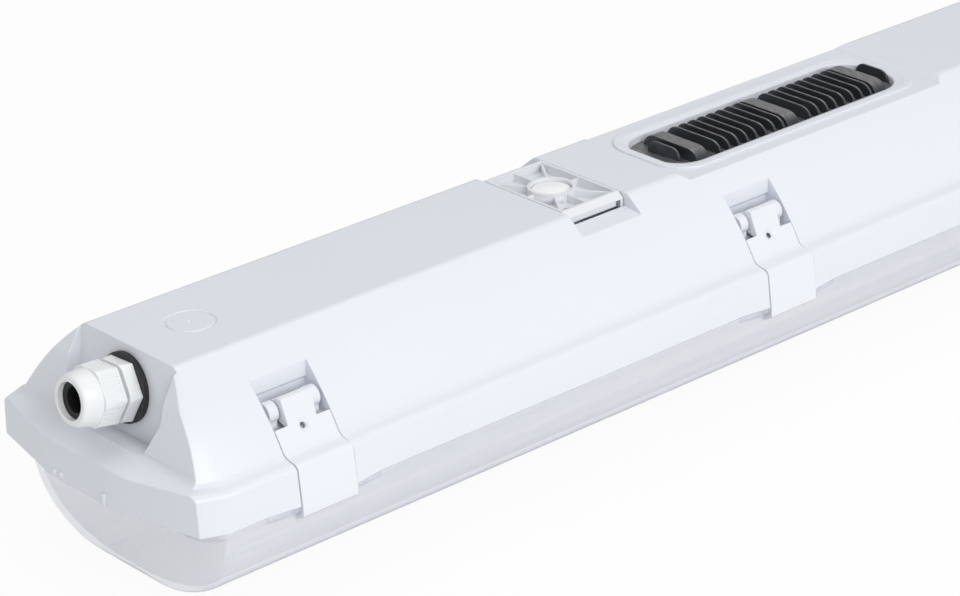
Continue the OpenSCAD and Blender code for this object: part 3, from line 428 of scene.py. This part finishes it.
# Diffuser: the trough's section is a curve between an ellipse and a rectangle. Its points are
# given by turns in degrees, from its rim at 0 to its lowest line at 90.
TROUGH_POWER = 2.55
TROUGH_TOP = -58.0
TROUGH_HALF_W = 67.0
TROUGH_DEPTH = 41.0
TROUGH_HALF_L = 580.0
TROUGH_WALL = 2.2
TROUGH_STEPS = 320
TROUGH_FROM = 3.0
TROUGH_SPAN = 86.7
INNER_STEPS = 24
INNER_FROM = 89.6
INNER_SPAN = 88.6
KEEL_HALF_W = 0.3
INNER_HALF_L = TROUGH_HALF_L - TROUGH_WALL
INNER_HALF_W = TROUGH_HALF_W - TROUGH_WALL
INNER_ROUND = 1.8
CORNER_ROUND = 4.0
END_ROUND = 4.0
RIB_DEPTH = 0.16
PLAIN_SINK = 0.3
PLAIN_ABOVE = -69.0
FLANGE_TOP = -56.6
FLANGE_LOW = -60.2
FLANGE_EDGE = 69.3
FLANGE_ROOT = 67.2
UPSTAND_TOP = -47.0
UPSTAND_IN_W = 62.1

# Half length, half width, corner radius and height of the rings from the inner wall over the
# ledge and the upstand, and round the flange to the trough's rim
RIM = (
    (INNER_HALF_L, INNER_HALF_W, INNER_ROUND, TROUGH_TOP),
    (INNER_HALF_L, UPSTAND_IN_W, INNER_ROUND, TROUGH_TOP),
    (INNER_HALF_L, UPSTAND_IN_W, INNER_ROUND, FLANGE_TOP),
    (583.7, UPSTAND_IN_W, 7.6, FLANGE_TOP),
    (583.7, UPSTAND_IN_W, 7.6, UPSTAND_TOP - 0.3),
    (584.0, 62.4, 7.9, UPSTAND_TOP),
    (585.6, 64.0, 9.5, UPSTAND_TOP),
    (585.9, 64.3, 9.8, UPSTAND_TOP - 0.3),
    (585.9, 64.3, 9.8, FLANGE_TOP),
    (590.0, 68.9, 13.6, FLANGE_TOP),
    (590.4, FLANGE_EDGE, 14.0, FLANGE_TOP - 0.4),
    (590.4, FLANGE_EDGE, 14.0, -58.4),
    (590.2, 69.1, 13.9, -58.7),
    (588.2, 67.3, 12.0, -60.1),
    (587.6, 67.0, 11.7, FLANGE_LOW),
    (TROUGH_HALF_L, 66.98, CORNER_ROUND, FLANGE_LOW),
)


def trough_point(turn, half_w, depth):
    c, s = math.cos(turn), math.sin(turn)
    return half_w * c ** (2 / TROUGH_POWER), TROUGH_TOP - depth * s ** (2 / TROUGH_POWER)


def make_diffuser():
    """A tub of rings seen from above: inner wall, ledge, upstand, flange and ribbed trough."""
    rings = []
    for i in range(INNER_STEPS):
        turn = math.radians(INNER_FROM - INNER_SPAN * i / (INNER_STEPS - 1))
        y, z = trough_point(turn, INNER_HALF_W, TROUGH_DEPTH - TROUGH_WALL)
        rings.append(plan_ring(INNER_HALF_L, y, INNER_ROUND, z))
    rings += [plan_ring(*row) for row in RIM]
    for i in range(TROUGH_STEPS + 1):
        turn = math.radians(TROUGH_FROM + TROUGH_SPAN * i / TROUGH_STEPS)
        y, z = trough_point(turn, TROUGH_HALF_W, TROUGH_DEPTH)
        if z > PLAIN_ABOVE:
            sink = PLAIN_SINK
        else:
            sink = RIB_DEPTH * (0.5 - 0.5 * math.cos(math.pi * i / 2))
        rest = max(0.0, END_ROUND - (z - TROUGH_TOP + TROUGH_DEPTH))
        end = END_ROUND - math.sqrt(END_ROUND ** 2 - rest * rest)
        half_w = max(KEEL_HALF_W, y - sink)
        rings.append(plan_ring(TROUGH_HALF_L - end, half_w, CORNER_ROUND, z + sink * math.sin(turn)))
    bm = bmesh.new()
    loft(bm, rings)
    return finish_rings("diffuser_tub", bm, 30.0)


def flare_ring(x, side, out):
    """The flange's cross section at a place beside a latch, with its edge led outward."""
    edge = FLANGE_EDGE + out
    top = FLANGE_TOP - 0.05
    outline = ((FLANGE_ROOT, top), (edge - 0.4, top), (edge, FLANGE_TOP - 0.45), (edge, -58.4),
               (edge - 0.2, -58.7), (edge - 2.0, -60.1), (FLANGE_ROOT, -60.1))
    return [(x, side * y, z) for y, z in outline]


def make_flange_flares():
    """Wedges of the diffuser's flange that follow the band's flares."""
    bm = bmesh.new()
    sections = ((POCKET_HALF, FLARE_OUT), (POCKET_HALF + 0.5 * FLARE_RAMP, 0.5 * FLARE_OUT),
                (POCKET_HALF + FLARE_RAMP, 0.02))
    for x in LATCH_X:
        for s in (-1, 1):
            for side in (-1, 1):
                loft(bm, [flare_ring(x + s * along, side, out) for along, out in sections])
    return finish_rings("flange_flares", bm, 30.0)


# Heat sink: two groups of thin fins between three bars, and one fin before and after them
SINK_X = -209.0
FIN_SHIFT = 1.0
BAR_PITCH = 58.4
FIN_COUNT = 8
FIN_FIRST = 11.6
FIN_PITCH = 5.85
END_FIN_BEFORE = 7.5
END_FIN_AFTER = 12.8
FIN_ROOT = -6.4
FIN_HEIGHT = 5.9
FIN_HALF_W = 20.0
FIN_REACH = 1.0
FIN_PULL = 2.0
FIN_TAPER = 0.42
ARC_START = 10.0
END_ARC_START = 6.0
COLLAR_SHIFT = -1.25

# Half length, half width, corner radius, shift along the housing and height of the collar's rings
COLLAR = (
    (77.2, 23.2, 12.7, 0.0, -2.2),
    (75.9, 21.1, 15.9, COLLAR_SHIFT, -2.6),
    (75.4, 20.5, 15.4, COLLAR_SHIFT, -2.95),
    (75.1, 20.2, 15.1, COLLAR_SHIFT, -3.5),
    (75.0, 20.1, 15.0, COLLAR_SHIFT, -6.5),
    (77.2, 23.2, 12.7, 0.0, -6.5),
    (77.2, 23.2, 12.7, 0.0, -2.2),
)


def taper_fins(bm):
    """Narrows the thin fins towards their tops and draws the fins' ends in."""
    middle = SINK_X + FIN_SHIFT
    firsts = (middle - BAR_PITCH + FIN_FIRST, middle + FIN_FIRST)
    centres = [first + k * FIN_PITCH for first in firsts for k in range(FIN_COUNT)]
    ends = [middle - BAR_PITCH - END_FIN_BEFORE, middle + BAR_PITCH + END_FIN_AFTER]
    for vert in bm.verts:
        p = vert.co / MM
        if p.z < FIN_ROOT:
            continue
        at_end = min(abs(p.x - c) for c in ends) < FIN_REACH
        if (END_ARC_START if at_end else ARC_START) < abs(p.y) < FIN_HALF_W:
            vert.co.y -= math.copysign(FIN_PULL * MM, p.y)
        for c in centres + ends:
            if abs(p.x - c) < FIN_REACH:
                share = 1.0 - FIN_TAPER * (p.z - FIN_ROOT) / FIN_HEIGHT
                vert.co.x = (c + (p.x - c) * share) * MM


def make_slot_collar():
    """The soft inner slope of the rim round the heat sink's slot."""
    rings = []
    for half_l, half_w, r, x, z in COLLAR:
        rings.append([(p[0] + SINK_X + x, p[1], p[2]) for p in plan_ring(half_l, half_w, r, z, 12)])
    bm = bmesh.new()
    loft(bm, rings, caps=False)
    bmesh.ops.remove_doubles(bm, verts=bm.verts, dist=WELD)
    return finish_rings("slot_collar", bm)


# Small pieces of the gear
def islands(node):
    """The lowest and highest corners, in millimetres, of each separate solid of a node."""
    bm = bmesh.new()
    bm.from_mesh(NODES[node].data)
    bmesh.ops.remove_doubles(bm, verts=bm.verts, dist=WELD)
    left = set(bm.verts)
    boxes = []
    while left:
        group = []
        edge = [left.pop()]
        while edge:
            vert = edge.pop()
            group.append(vert.co.copy() / MM)
            for link in vert.link_edges:
                other = link.other_vert(vert)
                if other in left:
                    left.remove(other)
                    edge.append(other)
        low = Vector((min(p[k] for p in group) for k in range(3)))
        high = Vector((max(p[k] for p in group) for k in range(3)))
        boxes.append((low, high))
    bm.free()
    return sorted(boxes, key=lambda pair: (round(pair[0].x, 3), round(pair[0].y, 3), pair[0].z))


def circle_ring(x, y, z, r, count=24):
    turns = [2 * math.pi * i / count for i in range(count)]
    return [(x + r * math.cos(turn), y + r * math.sin(turn), z) for turn in turns]


def cross_ring(x, y, z, reach, half):
    """A cross of 24 points, as many as a circle ring has."""
    corners = [(reach, half), (half, half), (half, reach), (-half, reach), (-half, half),
               (-reach, half), (-reach, -half), (-half, -half), (-half, -reach), (half, -reach),
               (half, -half), (reach, -half)]
    ring = [(x + reach, y, z)]
    for i, (a, b) in enumerate(corners):
        ring.append((x + a, y + b, z))
        if i + 1 < len(corners):
            c, d = corners[i + 1]
            ring.append((x + (a + c) / 2, y + (b + d) / 2, z))
    return ring


# Screws: heights above the head's face, and radii as shares of the head's radius. The thread's
# shares are of the shank's radius.
RECESS_DEPTH = 1.1
RECESS_FLOOR = (0.3, 0.08)
RECESS_MOUTH = (0.55, 0.14)
HEAD_RINGS = ((0.02, 0.72), (0.3, 0.9), (0.9, 1.0))
SHANK_SHARE = 0.36
THREAD_TURNS = 6
THREAD_SHARE = 0.86
TIP_SHARE = 0.6


def make_screws(name, node):
    """Pan head screws whose heads, with a cross recess, point down."""
    bm = bmesh.new()
    for low, high in islands(node):
        x, y = (low.x + high.x) / 2, (low.y + high.y) / 2
        head = (high.x - low.x) / 2
        shank = SHANK_SHARE * head
        base, top = low.z, high.z
        lip = base + min(2.2, 0.4 * (top - base))
        length = top - lip
        rings = [cross_ring(x, y, base + RECESS_DEPTH, *(share * head for share in RECESS_FLOOR)),
                 cross_ring(x, y, base, *(share * head for share in RECESS_MOUTH))]
        rings += [circle_ring(x, y, base + rise, share * head) for rise, share in HEAD_RINGS]
        rings += [circle_ring(x, y, lip, head), circle_ring(x, y, lip, shank)]
        for k in range(THREAD_TURNS):
            z = lip + length * (k + 0.5) / (THREAD_TURNS + 0.5)
            rings.append(circle_ring(x, y, z, shank))
            rings.append(circle_ring(x, y, z + 0.25 * length / THREAD_TURNS, THREAD_SHARE * shank))
        rings.append(circle_ring(x, y, top, TIP_SHARE * shank))
        loft(bm, rings)
    return finish_rings(name, bm, 35.0)


# LED packages: distances in from the package's sides, and heights above its face, of the rings
# of its frame and of the filling in its window
LED_ROUND = 0.3
FRAME_RINGS = ((0.0, 0.08), (0.08, 0.0), (0.42, 0.0), (0.6, 0.3))
WINDOW_RINGS = ((0.62, 0.34), (0.46, 0.1), (0.8, 0.04))


def package_ring(low, high, inset, z):
    x, y = (low.x + high.x) / 2, (low.y + high.y) / 2
    half_l, half_w = (high.x - low.x) / 2 - inset, (high.y - low.y) / 2 - inset
    return [(x + p[0], y + p[1], z) for p in plan_ring(half_l, half_w, LED_ROUND, 0.0, 3)]


def make_leds():
    """A white frame with a sunk window, and a phosphor filling in it, for every LED package."""
    frames = bmesh.new()
    windows = bmesh.new()
    for low, high in islands("led_packages"):
        walls = [package_ring(low, high, inset, low.z + rise) for inset, rise in FRAME_RINGS]
        loft(frames, [package_ring(low, high, 0.0, high.z)] + walls)
        loft(windows, [package_ring(low, high, inset, low.z + rise) for inset, rise in WINDOW_RINGS])
    return finish_rings("led_frames", frames), finish_rings("led_windows", windows)


# Studio: the world's light on the object, how far the floor shows as plain white, and the floor's
# half width and its distance below the object in metres
WORLD_LIGHT = 0.52
FLOOR_WHITE = 0.93
FLOOR_HALF = 30.0
FLOOR_DROP = 0.0005

# Name, place, target, size and power of the lamps
LAMPS = (
    ("key", (-0.6, -2.4, 1.3), (-0.3, 0.0, 0.0), (2.6, 1.6), 41.0),
    ("top", (-0.2, 0.4, 2.2), (-0.3, 0.0, 0.0), (3.0, 1.6), 13.0),
)


def area_light(name, place, target, size, power):
    data = bpy.data.lights.new(name, "AREA")
    data.shape = "RECTANGLE"
    data.size, data.size_y = size
    data.energy = power
    lamp = bpy.data.objects.new(name, data)
    bpy.context.scene.collection.objects.link(lamp)
    lamp.location = place
    lamp.rotation_euler = (Vector(target) - Vector(place)).to_track_quat("-Z", "Y").to_euler()


def seen_share(nodes, links):
    """1 where a ray comes straight from the camera or through clear plastic, otherwise 0."""
    path = nodes.new("ShaderNodeLightPath")
    seen = nodes.new("ShaderNodeMath")
    seen.operation = "MAXIMUM"
    links.new(path.outputs["Is Camera Ray"], seen.inputs[0])
    links.new(path.outputs["Is Transmission Ray"], seen.inputs[1])
    return seen.outputs[0]


def white_light(nodes, strength):
    background = nodes.new("ShaderNodeBackground")
    background.inputs["Color"].default_value = (1.0, 1.0, 1.0, 1.0)
    background.inputs["Strength"].default_value = strength
    return background.outputs[0]


def make_world():
    world = bpy.data.worlds.new("studio")
    bpy.context.scene.world = world
    world.use_nodes = True
    nodes, links = world.node_tree.nodes, world.node_tree.links
    nodes.clear()
    out = nodes.new("ShaderNodeOutputWorld")
    mix = nodes.new("ShaderNodeMixShader")
    links.new(seen_share(nodes, links), mix.inputs["Fac"])
    links.new(white_light(nodes, WORLD_LIGHT), mix.inputs[1])
    links.new(white_light(nodes, 1.0), mix.inputs[2])
    links.new(mix.outputs[0], out.inputs["Surface"])


def make_floor():
    low = CAD_BOX[0].z - FLOOR_DROP
    corners = [(x * FLOOR_HALF, y * FLOOR_HALF, low) for x, y in ((-1, -1), (1, -1), (1, 1), (-1, 1))]
    mesh = bpy.data.meshes.new("floor")
    mesh.from_pydata(corners, [], [(0, 1, 2, 3)])
    floor = bpy.data.objects.new("floor", mesh)
    bpy.context.scene.collection.objects.link(floor)
    t = Tree("floor")
    t.set(Base_Color=(0.9, 0.9, 0.9, 1.0), Roughness=0.9, Specular_IOR_Level=0.0)
    glow = t.new("ShaderNodeEmission")
    glow.inputs["Strength"].default_value = 1.0
    weight = t.new("ShaderNodeMath", operation="MULTIPLY")
    weight.inputs[1].default_value = FLOOR_WHITE
    t.links.new(seen_share(t.nodes, t.links), weight.inputs[0])
    mix = t.new("ShaderNodeMixShader")
    t.links.new(weight.outputs[0], mix.inputs["Fac"])
    t.links.new(t.shader.outputs["BSDF"], mix.inputs[1])
    t.links.new(glow.outputs["Emission"], mix.inputs[2])
    t.links.new(mix.outputs[0], t.out.inputs["Surface"])
    floor.data.materials.append(t.material)


def make_studio():
    make_world()
    make_floor()
    for lamp in LAMPS:
        area_light(*lamp)
    bpy.context.scene.view_settings.view_transform = "Standard"


# Pieces that are their node's shape with rounded edges, and the rounding's width
ROUNDED = (
    ("gland_washer", 0.3),
    ("gland_body", 0.25),
    ("gland_seal", 0.3),
    ("gland_locknut", 0.25),
    ("gear_tray", 0.25),
    ("led_boards", 0.15),
    ("board_connectors", 0.2),
    ("led_driver", 0.4),
    ("terminal_block", 0.3),
    ("earth_tag", 0.1),
    ("latch_pins", 0.3),
)

make_camera()
MATERIALS = make_materials()
for node, obj in NODES.items():
    obj.data.materials.clear()
    obj.data.materials.append(MATERIALS[SLOTS[node]])

shell = rounded_copy("housing", "housing_shell", 0.4, keep=away_from_bores, shape=spread_band)
dress(shell, "fixture", "housing_plastic", "housing")
dress(make_slot_collar(), "fixture", "housing_plastic", "housing")
dress(make_diffuser(), "fixture", "clear_plastic", "diffuser")
dress(make_flange_flares(), "fixture", "clear_plastic", "diffuser")

for side in ("near", "far"):
    for number in range(1, 6):
        latch = "latch_%s_%d" % (side, number)
        flap = rounded_copy(latch, latch + "_flap", 0.3, segments=3, keep=away_from_bores)
        dress(flap, latch, "latch_plastic", latch)
for number in (1, 2):
    bracket = "ceiling_bracket_%d" % number
    plug = "bracket_plug_%d" % number
    dress(rounded_copy(bracket, "bracket_%d" % number, 0.25), "fixture", "bracket_plastic", bracket)
    dress(rounded_copy(plug, "plug_%d" % number, 0.3, segments=3), "fixture", "plug_plastic", plug)
for node, width in ROUNDED:
    dress(rounded_copy(node, node + "_piece", width), "fixture", SLOTS[node], node)
sink = rounded_copy("heatsink", "heatsink_piece", 0.3, shape=taper_fins)
dress(sink, "fixture", "dark_casting", "heatsink")
for node in ("tray_screws", "heatsink_screws", "driver_screws"):
    dress(make_screws(node + "_piece", node), "fixture", "zinc_steel", node)
frames, windows = make_leds()
dress(frames, "fixture", "board_white", "led_packages")
dress(windows, "fixture", "led_phosphor", "led_packages")

make_studio()
